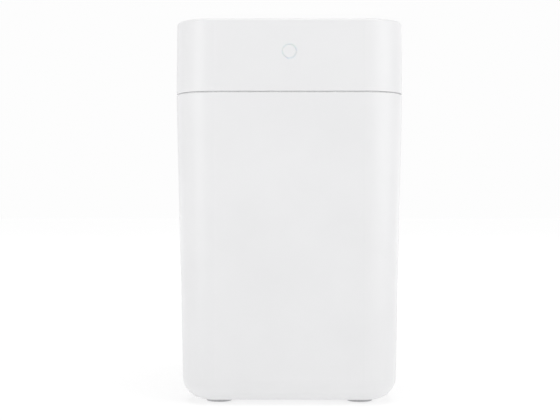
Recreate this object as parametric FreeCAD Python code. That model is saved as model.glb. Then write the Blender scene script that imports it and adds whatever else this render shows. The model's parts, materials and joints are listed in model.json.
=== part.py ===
"""Motorised self-sealing waste bin, about 15 litres, in millimetres.

A tapered bucket carries a motor-lifted head. The head holds a lid, a drop-in refill ring of bag film,
and a carriage that crosses the bag mouth and presses the film against a heated bar.

Frame: origin on the floor under the middle of the bin, +Z up, front face towards -Y.
"""
import FreeCAD
import Part
import math
import os

from FreeCAD import Vector

# ---------------------------------------------------------------- driving dimensions
CORNER_X, CORNER_Y = 78.0, 112.1      # centres of the plan corners, the same at every height
R_SEAM = 42.3                         # plan corner radius at the seam: 240.6 wide, 308.8 deep
R_TOP = 41.5                          # at the top of the head
R_BOTTOM = 35.1                       # at the bottom of the bucket, before its edge is rounded
HEIGHT = 402.5
FOOT_HEIGHT = 3.0
BUCKET_TOP = 325.4
HEAD_BOTTOM = 326.8
RIM_ROUND = 0.5                       # on both edges of the seam
WALL = 2.6
BOTTOM_ROUND = 24.0
TOP_ROUND = 3.0

# head hinge, along X at the rear of the seam
HINGE_Y, HINGE_Z = 148.4, 326.5
HINGE_R = 5.6                         # barrel
PIN_R = 2.5
RUNNING = 0.05                        # radial clearance of shafts that turn
HEAD_OPEN_DEG = 55.0

# lid and its hinge, along X under the rear deck
LID_Y, LID_Z = 112.0, 392.5
ROLL_R = 9.8
LID_HALF_X = 105.7
LID_FRONT, LID_REAR = -139.7, 106.0
LID_GAP = 0.8
TAB_HALF_X = 60.0
UNDERCUT_R = 13.0

# bag mouth and refill ring
MOUTH = (-84.0, 84.0, -117.0, 75.0)
MOUTH_R = 22.0
RING_WELL = (-106.5, 106.5, -140.5, 99.5)
WELL_WALL = 2.0
DECK_Z = 350.0                        # underside of the floor that carries the refill ring
RING_TOP = 383.0

# sealing carriage
ROD_X, ROD_Z, ROD_R = 104.0, 341.0, 3.0
RACK_X = (92.0, 98.0)
MODULE = 1.0
RACK_LINE = 334.5
PINION_TEETH = 14
SHAFT_Y = 98.0
SEAL_TRAVEL = 194.5
PAD_FACE = 75.2

# front button and top sensor
BUTTON_Z, BUTTON_R = 368.0, 6.9
LIGHT_RING_R = 8.0
SENSOR_Y = -147.2

# head lift drive
SECTOR_TEETH = 52
LIFT_MESH_DEG = -150.0                # where the pinion meets the sector, from +Y towards +Z
SECTOR_X = (18.0, 24.0)

# base and rear compartments
FLOOR_Z = 36.0
DUCT_FRONT, DUCT_HALF_X = 104.0, 72.0
FAN_X, FAN_Y, FAN_R = 0.0, 30.0, 42.0
ROCKER_DEG = 16.0

X, Y, Z = Vector(1, 0, 0), Vector(0, 1, 0), Vector(0, 0, 1)
NODES = {}


# ---------------------------------------------------------------- helpers
def node(name, *shapes):
    """Registers one named sub-part, made of one or more separate solids."""
    solids = [solid for shape in shapes for solid in shape.Solids]
    NODES[name] = solids[0] if len(solids) == 1 else Part.makeCompound(solids)


def box(x0, x1, y0, y1, z0, z1):
    return Part.makeBox(x1 - x0, y1 - y0, z1 - z0, Vector(x0, y0, z0))


def rod_x(x0, x1, y, z, radius):
    return Part.makeCylinder(radius, x1 - x0, Vector(x0, y, z), X)


def rod_y(y0, y1, x, z, radius):
    return Part.makeCylinder(radius, y1 - y0, Vector(x, y0, z), Y)


def rod_z(z0, z1, x, y, radius):
    return Part.makeCylinder(radius, z1 - z0, Vector(x, y, z0), Z)


def tube_z(z0, z1, x, y, outer, inner):
    return rod_z(z0, z1, x, y, outer).cut(rod_z(z0 - 1, z1 + 1, x, y, inner))


def fuse(*shapes):
    whole = shapes[0]
    for shape in shapes[1:]:
        whole = whole.fuse(shape)
    return whole.removeSplitter()


def cut(shape, *tools):
    for tool in tools:
        shape = shape.cut(tool)
    return shape


def mirrored_x(shape):
    return shape.mirror(Vector(0, 0, 0), X)


def both_sides(shape):
    return [shape, mirrored_x(shape)]


def rounded(x0, x1, y0, y1, radius, z0, z1):
    """A rounded rectangle standing from z0 to z1."""
    block = box(x0, x1, y0, y1, z0, z1)
    edges = [e for e in block.Edges if abs(e.tangentAt(e.FirstParameter).z) > 0.99]
    return block.makeFillet(radius, edges)


def grown(area, by):
    x0, x1, y0, y1 = area
    return x0 - by, x1 + by, y0 - by, y1 + by


def prism_x(points, x0, x1):
    """A polygon of (y, z) points, drawn out from x0 to x1."""
    loop = [Vector(x0, y, z) for y, z in points]
    return Part.Face(Part.makePolygon(loop + loop[:1])).extrude(Vector(x1 - x0, 0, 0))


def prism_y(points, y0, y1):
    """A polygon of (x, z) points, drawn out from y0 to y1."""
    loop = [Vector(x, y0, z) for x, z in points]
    return Part.Face(Part.makePolygon(loop + loop[:1])).extrude(Vector(0, y1 - y0, 0))


def prism_z(points, z0, z1):
    """A polygon of (x, y) points, drawn out from z0 to z1."""
    loop = [Vector(x, y, z0) for x, y in points]
    return Part.Face(Part.makePolygon(loop + loop[:1])).extrude(Vector(0, 0, z1 - z0))


def drafted(r0, r1, z0, z1):
    """The bin's plan outline with corner radius r0 at z0 and r1 at z1: four cones and two tapered blocks."""
    across = prism_y([(-CORNER_X - r0, z0), (CORNER_X + r0, z0), (CORNER_X + r1, z1), (-CORNER_X - r1, z1)],
                     -CORNER_Y, CORNER_Y)
    along = prism_x([(-CORNER_Y - r0, z0), (CORNER_Y + r0, z0), (CORNER_Y + r1, z1), (-CORNER_Y - r1, z1)],
                    -CORNER_X, CORNER_X)
    corners = []
    for x in (-CORNER_X, CORNER_X):
        for y in (-CORNER_Y, CORNER_Y):
            if abs(r0 - r1) < 1e-6:
                corners.append(rod_z(z0, z1, x, y, r0))
            else:
                corners.append(Part.makeCone(r0, r1, z1 - z0, Vector(x, y, z0)))
    return fuse(across, along, *corners)


def bucket_r(z):
    """Outer corner radius of the bucket at height z."""
    share = (z - FOOT_HEIGHT) / (BUCKET_TOP - FOOT_HEIGHT)
    return R_BOTTOM + (R_SEAM - R_BOTTOM) * share


def head_r(z):
    share = (z - HEAD_BOTTOM) / (HEIGHT - HEAD_BOTTOM)
    return R_SEAM + (R_TOP - R_SEAM) * share


def bucket_solid(inset, z0, z1):
    return drafted(bucket_r(z0) - inset, bucket_r(z1) - inset, z0, z1)


def head_solid(inset, z0, z1):
    return drafted(head_r(z0) - inset, head_r(z1) - inset, z0, z1)


def edges_at(shape, z):
    """Edges that lie in the horizontal plane at z."""
    return [e for e in shape.Edges
            if abs(e.BoundBox.ZMin - z) < 1e-4 and abs(e.BoundBox.ZMax - z) < 1e-4]


def polar(centre_y, centre_z, radius, degrees):
    a = math.radians(degrees)
    return centre_y + radius * math.cos(a), centre_z + radius * math.sin(a)


def wedge_x(x0, x1, centre_y, centre_z, radius, start_deg, end_deg):
    """A pie slice about an axis along X, angles from +Y towards +Z."""
    steps = 12
    rim = [polar(centre_y, centre_z, radius, start_deg + (end_deg - start_deg) * i / steps)
           for i in range(steps + 1)]
    return prism_x([(centre_y, centre_z)] + rim, x0, x1)


# ---------------------------------------------------------------- gears
PRESSURE = math.radians(20.0)
ADDENDUM, DEDENDUM, BACKLASH = 0.8, 1.1, 0.16


def involute(angle):
    return math.tan(angle) - angle


def tooth_half_angle(radius, pitch_r, base_r):
    """Half the angle a tooth covers at a radius, in radians."""
    at_pitch = (math.pi * MODULE / 2 - BACKLASH) / (2 * pitch_r)
    if radius <= base_r:
        return at_pitch + involute(PRESSURE)
    return at_pitch + involute(PRESSURE) - involute(math.acos(base_r / radius))


def gear_points(teeth, centre_y, centre_z, first_deg, count=None):
    """Outline of count teeth, the first one centred on first_deg, as (y, z) points."""
    pitch_r = MODULE * teeth / 2
    base_r = pitch_r * math.cos(PRESSURE)
    root_r, tip_r = pitch_r - DEDENDUM * MODULE, pitch_r + ADDENDUM * MODULE
    flank = [root_r] + [max(base_r, root_r) + (tip_r - max(base_r, root_r)) * i / 4 for i in range(5)]
    points = []
    for tooth in range(count or teeth):
        middle = math.radians(first_deg) + 2 * math.pi * tooth / teeth
        for radius in flank:
            a = middle - tooth_half_angle(radius, pitch_r, base_r)
            points.append((centre_y + radius * math.cos(a), centre_z + radius * math.sin(a)))
        for radius in reversed(flank):
            a = middle + tooth_half_angle(radius, pitch_r, base_r)
            points.append((centre_y + radius * math.cos(a), centre_z + radius * math.sin(a)))
    return points


def gear_x(teeth, x0, x1, centre_y, centre_z, first_deg, bore_r):
    blank = prism_x(gear_points(teeth, centre_y, centre_z, first_deg), x0, x1)
    return blank.cut(rod_x(x0 - 1, x1 + 1, centre_y, centre_z, bore_r))


def rack_y(x0, x1, y0, y1, base_z, line_z, gap_y):
    """A rack with teeth up, with a tooth gap centred on gap_y."""
    pitch = math.pi * MODULE
    slope = math.tan(PRESSURE)
    half = (pitch / 2 - BACKLASH) / 2
    first = math.ceil((y0 + pitch - gap_y) / pitch - 0.5)
    last = math.floor((y1 - pitch - gap_y) / pitch - 0.5)
    points = [(y0, base_z), (y1, base_z), (y1, line_z - DEDENDUM)]
    for k in range(last, first - 1, -1):
        middle = gap_y + (k + 0.5) * pitch
        low, high = half + DEDENDUM * slope, half - ADDENDUM * slope
        points += [(middle + low, line_z - DEDENDUM), (middle + high, line_z + ADDENDUM),
                   (middle - high, line_z + ADDENDUM), (middle - low, line_z - DEDENDUM)]
    points.append((y0, line_z - DEDENDUM))
    return prism_x(points, x0, x1)


# ---------------------------------------------------------------- bucket
def make_bucket_shell():
    outer = bucket_solid(0, FOOT_HEIGHT, BUCKET_TOP)
    outer = outer.makeFillet(BOTTOM_ROUND, edges_at(outer, FOOT_HEIGHT))
    outer = outer.makeFillet(RIM_ROUND, edges_at(outer, BUCKET_TOP))
    inner_floor = FOOT_HEIGHT + WALL
    inner = bucket_solid(WALL, inner_floor, BUCKET_TOP + 1)
    inner = inner.makeFillet(BOTTOM_ROUND - WALL, edges_at(inner, inner_floor))
    shell = outer.cut(inner)
    # trough for the hinge barrel in the rear rim
    shell = shell.cut(rod_x(-80, 80, HINGE_Y, HINGE_Z, HINGE_R + 0.5))
    # air outlet: slots in the bottom, behind the fan
    for i in range(7):
        x = -30 + 10 * i
        shell = shell.cut(rounded(x - 2, x + 2, 84, 116, 1.9, FOOT_HEIGHT - 1, inner_floor + 1))
    # opening for the power inlet plate, low in the rear wall
    shell = shell.cut(box(-34, 34, 130, 160, 52, 80))
    node("bucket_shell", shell)


def make_feet():
    foot_x, foot_y, foot_r = 75.0, 108.0, 14.0
    feet = []
    for x in (-foot_x, foot_x):
        for y in (-foot_y, foot_y):
            pad = rod_z(0, FOOT_HEIGHT, x, y, foot_r)
            feet.append(pad.makeFillet(1.2, edges_at(pad, 0)))
    node("feet", *feet)


def make_collar():
    """Ledge inside the bucket's rim that stiffens it and carries the rim seal."""
    z0, z1 = 314.0, BUCKET_TOP
    collar = bucket_solid(WALL + 0.02, z0, z1).cut(drafted(34.0, 34.0, z0 - 1, z1 + 1))
    collar = collar.cut(drafted(38.2, 38.2, z0 - 1, z1 - 3))
    # rear cover of the drive compartment, slotted for the sector and open at the hinge
    cover = box(-DUCT_HALF_X, DUCT_HALF_X, DUCT_FRONT - 2, 139.5, z1 - 2.2, z1)
    collar = cut(fuse(collar, cover),
                 box(-80.5, 80.5, 139.5, 160, z0 - 1, z1 + 1),
                 box(SECTOR_X[0] - 1, SECTOR_X[1] + 1, 119, 160, z0 - 1, z1 + 1))
    node("bucket_collar", collar)
    # elastomer lip that closes the seam from inside, left open at the hinge
    lip = drafted(40.9, 40.9, z1, HEAD_BOTTOM - 0.15).cut(drafted(34.6, 34.6, z1 - 1, HEAD_BOTTOM + 1))
    lip = lip.cut(box(-130, 130, 128, 170, z1 - 1, HEAD_BOTTOM + 1))
    node("rim_seal", lip)


def make_floor():
    """Removable floor over the fan, with a grille."""
    z0, z1 = FLOOR_Z, FLOOR_Z + 2.4
    floor = bucket_solid(WALL + 0.3, z0, z1)
    for row in range(-3, 4):
        for column in range(-3, 4):
            if row * row + column * column <= 10:
                x, y = FAN_X + 10.5 * column, FAN_Y + 10.5 * row
                floor = floor.cut(rounded(x - 4.2, x + 4.2, y - 1.8, y + 1.8, 1.7, z0 - 1, z1 + 1))
    legs = []
    for x in (-80, 80):
        for y in (-100, 0, 100):
            legs.append(rod_z(FOOT_HEIGHT + WALL, z0, x, y, 4.0))
    node("floor_panel", fuse(floor, *legs))


def make_rear_duct():
    """Panel that closes the rear compartment off from the bag space."""
    z0, z1 = FLOOR_Z + 2.4, BUCKET_TOP - 2.2
    depth = box(-DUCT_HALF_X, DUCT_HALF_X, DUCT_FRONT - 2, 160, z0, z1)
    hollow = box(-DUCT_HALF_X + 2, DUCT_HALF_X - 2, DUCT_FRONT, 161, z0 - 1, z1 + 1)
    panel = depth.cut(hollow).common(bucket_solid(WALL + 0.2, z0, z1))
    panel = panel.cut(drafted(60, 60, 313.5, z1 + 1).cut(drafted(33.9, 33.9, 313, z1 + 2)))
    panel = cut(panel, *both_sides(box(57.5, 78.5, 142.5, 160, 297.5, 330)))
    for i in range(6):
        z = 120 + 9 * i
        panel = panel.cut(box(-40, 40, DUCT_FRONT - 3, DUCT_FRONT + 1, z, z + 3))
    node("rear_duct_panel", panel)


def make_fan():
    z0, z1 = FOOT_HEIGHT + WALL, FLOOR_Z
    top = z1 - 3.0
    scroll_r = FAN_R + 5
    body = fuse(rod_z(z0, top, FAN_X, FAN_Y, scroll_r), box(FAN_X - 4, FAN_X + scroll_r, FAN_Y, FAN_Y + 58, z0, top),
                box(-38, 38 + 9, FAN_Y + 50, FAN_Y + 90, z0, top))
    inside = fuse(rod_z(z0 + 2, top + 1, FAN_X, FAN_Y, scroll_r - 2),
                  box(FAN_X - 2, FAN_X + scroll_r - 2, FAN_Y, FAN_Y + 60, z0 + 2, top + 1),
                  box(-36, 36 + 9, FAN_Y + 52, FAN_Y + 88, z0 + 2, top + 1))
    mouth = box(-34, 34, 83, 117, z0 - 1, z0 + 3)
    node("fan_housing", cut(body, inside, mouth))
    plate = fuse(rod_z(top, top + 2, FAN_X, FAN_Y, scroll_r), box(FAN_X - 4, FAN_X + scroll_r, FAN_Y, FAN_Y + 58, top, top + 2),
                 box(-38, 38 + 9, FAN_Y + 50, FAN_Y + 90, top, top + 2))
    inlet_r = 30.0
    collar = tube_z(top + 2, z1 - 0.4, FAN_X, FAN_Y, inlet_r + 2, inlet_r)
    node("fan_cover", fuse(plate.cut(rod_z(top - 1, z1, FAN_X, FAN_Y, inlet_r)), collar))
    # motor on the housing floor, shaft up
    can = rod_z(z0 + 2, z0 + 12, FAN_X, FAN_Y, 12)
    can = can.makeFillet(1.5, edges_at(can, z0 + 12))
    node("fan_motor", fuse(can, rod_z(z0 + 12, z0 + 20, FAN_X, FAN_Y, 1.5)))
    # impeller: back plate, hub and backward-curved blades
    plate_z = z0 + 13
    wheel = fuse(rod_z(plate_z, plate_z + 1.2, FAN_X, FAN_Y, FAN_R - 4),
                 rod_z(plate_z, plate_z + 8, FAN_X, FAN_Y, 8),
                 tube_z(top - 2.2, top - 1, FAN_X, FAN_Y, FAN_R - 4, FAN_R - 10))
    blade_arc_r, blade_count = 20.0, 18
    for i in range(blade_count):
        # each blade is a slice of a thin tube standing off the hub axis
        centre = Vector(FAN_X + 22, FAN_Y + 12, 0)
        ring = tube_z(plate_z + 0.6, top - 1.6, centre.x, centre.y, blade_arc_r, blade_arc_r - 1.1)
        band = tube_z(plate_z, top, FAN_X, FAN_Y, FAN_R - 4.5, 20).common(box(FAN_X, FAN_X + 60, FAN_Y - 14, FAN_Y + 12, 0, 60))
        blade = ring.common(band)
        blade.rotate(Vector(FAN_X, FAN_Y, 0), Z, 360.0 * i / blade_count)
        wheel = wheel.fuse(blade)
    wheel = wheel.cut(rod_z(plate_z - 1, z0 + 20.1, FAN_X, FAN_Y, 1.5 + RUNNING))
    node("fan_impeller", wheel)


def make_power():
    """Battery, charging board, inlet plate, socket and rocker switch in the rear compartment."""
    z0 = 84.0
    cells = []
    cell_r, cell_length = 9.1, 65.0
    for column in range(2):
        for row in range(3):
            cell = rod_x(-cell_length / 2, cell_length / 2, 115.5 + 18.6 * column, z0 + 11 + 18.6 * row, cell_r)
            cells.append(cell)
    node("battery_cells", *cells)
    tray = box(-36, 36, 104, 145, z0 - 1, z0 + 50)
    tray = cut(tray, box(-34, 34, 103, 146, z0 + 1.5, z0 + 51))
    node("battery_tray", tray)
    board = box(-50, 50, 120, 121.6, 170, 250)
    node("charging_board", board)
    parts = [box(-30, -12, 108, 120, 182, 204), box(6, 22, 112, 120, 180, 196), box(28, 44, 114, 120, 214, 238),
             rod_y(106, 120, -34, 232, 6), rod_y(106, 120, -18, 232, 6)]
    node("charging_board_parts", *parts)
    # inlet plate sits in the opening of the rear wall
    plate_outer = bucket_solid(0.0, 52.3, 79.7).common(box(-33.7, 33.7, 130, 160, 52.3, 79.7))
    plate = plate_outer.cut(bucket_solid(2.4, 52, 80).common(box(-40, 40, 100, 160, 52, 80)))
    socket_x, switch_x, row_z = -18.0, 14.0, 66.0
    plate = cut(plate, rod_y(130, 160, socket_x, row_z, 5.0), box(switch_x - 10, switch_x + 10, 130, 160, row_z - 6.5, row_z + 6.5))
    node("inlet_plate", plate)
    barrel = rod_y(131, 147.2, socket_x, row_z, 4.95).cut(rod_y(138, 148, socket_x, row_z, 3.1))
    barrel = fuse(barrel, box(socket_x - 7, socket_x + 7, 128, 136, row_z - 7, row_z + 7), rod_y(137, 145.5, socket_x, row_z, 1.0))
    node("dc_socket", barrel)
    face_y = 147.6
    frame = box(switch_x - 9.95, switch_x + 9.95, 130, face_y, row_z - 6.45, row_z + 6.45)
    frame = frame.cut(box(switch_x - 8.2, switch_x + 8.2, 135, face_y + 1, row_z - 4.8, row_z + 4.8))
    # rocker: left flat level with the frame, right flat raised, clipped to a circle about its pivot
    pivot_y = face_y - 4.0
    face, half, rise = pivot_y + 3.7, 7.7, 7.7 * math.tan(math.radians(ROCKER_DEG))
    profile = [(switch_x - half, pivot_y - 3), (switch_x + half, pivot_y - 3), (switch_x + half, face + rise),
               (switch_x, face), (switch_x - half, face)]
    rocker = prism_z(profile, row_z - 4.5, row_z + 4.5)
    rocker = rocker.common(rod_z(row_z - 4.5, row_z + 4.5, switch_x, pivot_y, 7.85))
    rocker = fuse(rocker, rod_z(row_z - 5.8, row_z + 5.8, switch_x, pivot_y, 1.0))
    frame = frame.cut(rod_z(row_z - 5.9, row_z + 5.9, switch_x, pivot_y, 1.0 + RUNNING))
    node("switch_frame", frame)
    node("switch_rocker", rocker)


def make_hinge_and_lift():
    """Bucket side of the head hinge, and the gearmotor that lifts the head."""
    knuckles = []
    for side in (-1, 1):
        x0, x1 = sorted((58 * side, 78 * side))
        leaf = box(x0, x1, 145, 160, 298, 322).common(bucket_solid(WALL, 290, 325))
        web = box(x0, x1, 145, 151, 321, HINGE_Z)
        knuckle = fuse(leaf, web, rod_x(x0, x1, HINGE_Y, HINGE_Z, HINGE_R))
        knuckles.append(knuckle.cut(rod_x(x0 - 1, x1 + 1, HINGE_Y, HINGE_Z, PIN_R)))
    node("hinge_knuckles", *knuckles)
    node("hinge_pin", rod_x(-79, 79, HINGE_Y, HINGE_Z, PIN_R))
    # pinion with its shaft, gearmotor and bracket
    mesh_r = MODULE * (SECTOR_TEETH + PINION_TEETH) / 2
    py, pz = polar(HINGE_Y, HINGE_Z, mesh_r, LIFT_MESH_DEG)
    x0, x1 = SECTOR_X
    pinion = gear_x(PINION_TEETH, x0 - 0.5, x1 + 0.5, py, pz, LIFT_MESH_DEG + 180, 1.5)
    pinion = fuse(pinion, rod_x(x0 - 2, 36, py, pz, 2.0))
    node("lift_pinion", pinion)
    motor = fuse(rod_x(28, 46, py, pz, 12), rod_x(46, 66, py, pz, 11.5), rod_x(66, 68.5, py, pz, 5))
    node("lift_motor", motor.cut(rod_x(27, 37, py, pz, 2.0 + RUNNING)))
    bracket = box(26, 28, DUCT_FRONT, 160, 294, 319).common(bucket_solid(WALL, 290, 325))
    foot = box(26, 50, DUCT_FRONT, DUCT_FRONT + 2, 294, 297.5)
    bracket = fuse(bracket, foot).cut(rod_x(25, 29, py, pz, 4.5))
    node("lift_bracket", bracket)


# ---------------------------------------------------------------- head
def hinge_wedge(offset):
    """Space behind a plane through the hinge axis, which the head gives up so that it can tip back."""
    rise = math.radians(HEAD_OPEN_DEG + 2)
    slope = math.tan(rise)
    shift = offset / math.cos(rise)

    def y_at(z):
        return HINGE_Y + (z - HINGE_Z - shift) / slope
    low, high = 320.0, 365.0
    return prism_x([(y_at(low), low), (y_at(high), high), (180, high), (180, low)], -130, 130)


def lid_outline(x_half, y0, y1, front_r, rear_r, z0, z1):
    """A rectangle with large front corners and small rear ones."""
    block = box(-x_half, x_half, y0, y1, z0, z1)
    upright = [e for e in block.Edges if abs(e.tangentAt(e.FirstParameter).z) > 0.99]
    block = block.makeFillet(front_r, [e for e in upright if e.CenterOfMass.y < (y0 + y1) / 2])
    upright = [e for e in block.Edges if abs(e.tangentAt(e.FirstParameter).z) > 0.99]
    return block.makeFillet(rear_r, [e for e in upright if e.CenterOfMass.y > (y0 + y1) / 2 + 10])


def oval(half_length, half_width, x, y, z0, z1):
    return rounded(x - half_length, x + half_length, y - half_width, y + half_width, half_width - 0.01, z0, z1)


BOSSES = [(sx * 103.1, sy * 137.2) for sx in (-1, 1) for sy in (-1, 1)]


def make_head_shell():
    outer = head_solid(0, HEAD_BOTTOM, HEIGHT)
    outer = outer.makeFillet(TOP_ROUND, edges_at(outer, HEIGHT))
    outer = outer.makeFillet(RIM_ROUND, edges_at(outer, HEAD_BOTTOM))
    skin = HEIGHT - WALL
    inner = drafted(R_SEAM - WALL, R_TOP - WALL, HEAD_BOTTOM - 1, skin)
    shell = outer.cut(hinge_wedge(0.8)).cut(inner.cut(hinge_wedge(0.8 + WALL)))
    # lid opening: straight to the hinge line, with the deck's edge concentric to the lid hinge
    opening = lid_outline(LID_HALF_X + LID_GAP, LID_FRONT - LID_GAP, LID_Y, 29.5, 1.0, skin - 8, HEIGHT + 1)
    opening = opening.cut(rod_x(-130, 130, LID_Y, LID_Z, UNDERCUT_R - 0.7))
    tab = box(-TAB_HALF_X - LID_GAP, TAB_HALF_X + LID_GAP, LID_Y - 40, LID_Y + ROLL_R + 0.7, skin - 8, HEIGHT + 1)
    shell = cut(shell, opening, tab)
    rim = [e for e in edges_at(shell, HEIGHT) if e.BoundBox.XMax < 107 and e.BoundBox.XMin > -107
           and e.BoundBox.YMin > LID_FRONT - 1]
    shell = shell.makeFillet(0.4, rim)
    # skirt under the deck's edge, each side of the lid's hinge tab
    band = rod_x(-LID_HALF_X, LID_HALF_X, LID_Y, LID_Z, UNDERCUT_R - 0.7)
    band = band.cut(rod_x(-130, 130, LID_Y, LID_Z, UNDERCUT_R - 2.2))
    band = band.common(box(-130, 130, 90, LID_Y - 6, LID_Z + 0.5, HEIGHT))
    band = band.cut(box(-TAB_HALF_X - LID_GAP, TAB_HALF_X + LID_GAP, 90, 130, 380, 410))
    shell = shell.fuse(band)
    for x, y in BOSSES:
        boss = rod_z(HEAD_BOTTOM + WALL, skin + 1, x, y, 3.6).cut(rod_z(HEAD_BOTTOM, 345, x, y, 1.4))
        shell = shell.fuse(boss)
    shell = cut(shell,
                rod_x(-80, 80, HINGE_Y, HINGE_Z, HINGE_R + 0.5),
                rod_y(-160, -140, 0, BUTTON_Z, LIGHT_RING_R),
                oval(7, 2.5, 0, SENSOR_Y, skin - 1, HEIGHT + 1))
    node("head_shell", shell.removeSplitter())


def make_head_base():
    z0, z1 = HEAD_BOTTOM, HEAD_BOTTOM + WALL
    base = head_solid(WALL + 0.02, z0, z1).cut(hinge_wedge(0.8 + WALL))
    mouth = rounded(MOUTH[0] - 2, MOUTH[1] + 2, MOUTH[2] - 2, MOUTH[3] + 2, MOUTH_R + 2, z0 - 1, z1 + 1)
    base = cut(base, mouth,
               box(-80.5, 80.5, 138, 170, z0 - 1, z1 + 1),
               box(SECTOR_X[0] - 0.5, SECTOR_X[1] + 0.5, 128, 170, z0 - 1, z1 + 1))
    screws = []
    for x, y in BOSSES:
        base = cut(base, rod_z(z0 - 1, z0 + 1.6, x, y, 2.7), rod_z(z0, z1 + 1, x, y, 1.4))
        head = rod_z(z0 + 0.2, z0 + 1.6, x, y, 2.7).cut(rod_z(z0, z0 + 1.0, x, y, 1.0))
        screws.append(fuse(head, rod_z(z0 + 1.6, 344, x, y, 1.4)))
    node("head_base", base)
    node("head_screws", *screws)


def make_head_hinge():
    spans = [(-57.6, SECTOR_X[0] - 0.4), (SECTOR_X[1] + 0.4, 57.6)]
    barrels = []
    for x0, x1 in spans:
        plate = box(x0, x1, 126, 146, HEAD_BOTTOM + WALL, HEAD_BOTTOM + WALL + 2.4)
        web = box(x0, x1, 138.2, HINGE_Y, HEAD_BOTTOM + 0.4, HEAD_BOTTOM + WALL + 1)
        inner_x = x1 if x1 < SECTOR_X[1] else x0
        cheek = box(min(inner_x, inner_x - 3 * (x1 < SECTOR_X[1])), max(inner_x, inner_x + 3 * (x0 > SECTOR_X[0])),
                    130, 146, HEAD_BOTTOM + WALL, 342)
        barrel = fuse(plate, web, cheek, rod_x(x0, x1, HINGE_Y, HINGE_Z, HINGE_R))
        barrels.append(barrel.cut(rod_x(x0 - 1, x1 + 1, HINGE_Y, HINGE_Z, PIN_R + RUNNING)))
    node("hinge_barrels", *barrels)
    # toothed lift sector, bolted to the head by its arm
    pitch = 360.0 / SECTOR_TEETH
    first, count = LIFT_MESH_DEG - pitch / 2, 10
    x0, x1 = SECTOR_X
    teeth = gear_points(SECTOR_TEETH, HINGE_Y, HINGE_Z, first, count)
    sector = prism_x([(HINGE_Y, HINGE_Z)] + teeth, x0, x1)
    arm = box(x0, x1, 130, 146, 318, 342)
    sector = fuse(sector, arm, rod_x(x0, x1, HINGE_Y, HINGE_Z, HINGE_R))
    window = wedge_x(x0 - 1, x1 + 1, HINGE_Y, HINGE_Z, 20, -143, -100)
    window = window.cut(rod_x(x0 - 2, x1 + 2, HINGE_Y, HINGE_Z, 10.5))
    sector = cut(sector, window, rod_x(x0 - 1, x1 + 1, HINGE_Y, HINGE_Z, PIN_R + RUNNING))
    node("lift_sector", sector)


def make_ring_well():
    """Open box under the lid that the refill ring drops into, with the bag mouth in its floor."""
    x1, y0, y1 = RING_WELL[1], RING_WELL[2], RING_WELL[3]
    top = HEIGHT - WALL
    well = lid_outline(x1 + WELL_WALL, y0 - WELL_WALL, y1 + WELL_WALL, 31.5, 4.0, DECK_Z, top)
    well = well.cut(lid_outline(x1, y0, y1, 29.5, 2.0, DECK_Z + 2.5, top + 1))
    well = cut(well, rounded(*MOUTH, MOUTH_R, DECK_Z - 1, DECK_Z + 3),
               box(-130, 130, y1 - 3, 130, 391.5, top + 1))
    tray = box(-88, 88, y1 + WELL_WALL, 149, DECK_Z, DECK_Z + 2).common(head_solid(WALL + 0.1, 345, 360))
    posts = [box(x - 1.5, x + 1.5, -144.8, y0 - WELL_WALL + 0.1, z - 2, z + 2)
             for x in (-11, 11) for z in (BUTTON_Z - 8, BUTTON_Z + 8)]
    node("ring_well", fuse(well, tray, *posts))


def make_refill_ring():
    x1, y0, y1 = 103.0, -136.0, 94.0
    floor_z = DECK_Z + 2.5
    tray = lid_outline(x1, y0, y1, 26.0, 3.0, floor_z, RING_TOP)
    trough = lid_outline(x1 - 1.6, y0 + 1.6, y1 - 1.6, 24.4, 1.6, floor_z + 2, RING_TOP + 1)
    core = rounded(*grown(MOUTH, 1.6), MOUTH_R + 1.6, floor_z + 1, RING_TOP - 1.5)
    throat = rounded(*MOUTH, MOUTH_R, floor_z - 1, RING_TOP + 1)
    trough = trough.cut(core)
    node("refill_tray", cut(tray, trough, throat))
    cover = lid_outline(x1 - 1.7, y0 + 1.7, y1 - 1.7, 24.3, 1.5, RING_TOP - 1.4, RING_TOP)
    cover = cover.cut(rounded(*grown(MOUTH, 3.5), MOUTH_R + 3.5, RING_TOP - 3, RING_TOP + 1))
    rib = rounded(*grown(MOUTH, 7), MOUTH_R + 7, RING_TOP, RING_TOP + 1.2)
    rib = rib.cut(rounded(*grown(MOUTH, 5), MOUTH_R + 5, RING_TOP - 1, RING_TOP + 2))
    node("refill_cover", fuse(cover, rib))
    film = lid_outline(x1 - 3, y0 + 3, y1 - 3, 23.0, 1.5, floor_z + 2.4, RING_TOP - 2.2)
    film = film.cut(rounded(*grown(MOUTH, 3.0), MOUTH_R + 3.0, floor_z, RING_TOP + 1))
    node("film_pack", film)


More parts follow.
